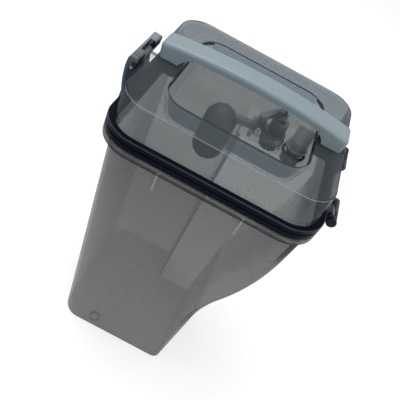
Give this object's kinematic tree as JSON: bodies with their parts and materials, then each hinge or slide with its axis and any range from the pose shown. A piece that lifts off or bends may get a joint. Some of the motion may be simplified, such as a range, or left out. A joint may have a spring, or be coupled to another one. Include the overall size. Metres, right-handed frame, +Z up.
{
  "type": "waste water tank",
  "caption": "Smoked waste-water tank for a robot vacuum's docking station, with a hinged lid, bar handle over a finger tray, side clip latch and float-operated air valve.",
  "frame": {"origin": "on the underside of the tank's foot, below the middle of the lid", "axes": "+Z up; +X to the hinge side, the S-curved wall's side; +Y to the back, where the pipe notch opens"},
  "size_m": [0.1767, 0.1544, 0.2652],
  "materials": {
    "smoked_clear": "clear smoked moulding, satin inside and gloss outside",
    "smoked_dark": "dark smoked moulding",
    "grey_plastic": "blue-grey, fine matt grain",
    "black_rubber": "smooth black rubber",
    "dark_plastic": "dark grey moulding",
    "steel": "bright stainless steel",
    "clear_silicone": "milky clear silicone"
  },
  "bodies": {
    "tank": {"tank_body": "smoked_clear", "valve_base": "smoked_clear", "base_screws": "steel", "lever_pin": "steel", "air_standpipe": "dark_plastic", "air_pipe_seal": "black_rubber", "inlet_pipe": "smoked_clear", "inlet_pipe_seal": "black_rubber", "duckbill_valve": "clear_silicone", "air_port_gasket": "black_rubber", "inlet_port_gasket": "black_rubber", "hinge_pin_front": "dark_plastic", "hinge_pin_rear": "dark_plastic"},
    "lid": {"tank_lid": "smoked_clear", "lid_gasket": "black_rubber", "carry_handle": "grey_plastic", "handle_screws": "steel", "latch_pin": "steel"},
    "latch": {"lid_latch": "smoked_dark"},
    "float": {"float_lever": "smoked_dark", "float_cup": "smoked_dark", "valve_stopper": "black_rubber"}
  },
  "joints": [
    {"name": "lid_hinge", "type": "hinge", "parent": "tank", "child": "lid", "pos_m": [0.086, 0, 0.2208], "axis": [0, 1, 0], "range_deg": [0, 105]},
    {"name": "latch_swing", "type": "hinge", "parent": "lid", "child": "latch", "pos_m": [-0.0826, 0, 0.239], "axis": [0, 1, 0], "range_deg": [-4.2, 85]},
    {"name": "float_swing", "type": "hinge", "parent": "tank", "child": "float", "pos_m": [0.0167, 0.03, 0.2124], "axis": [0, 1, 0], "range_deg": [0, 15]}
  ]
}
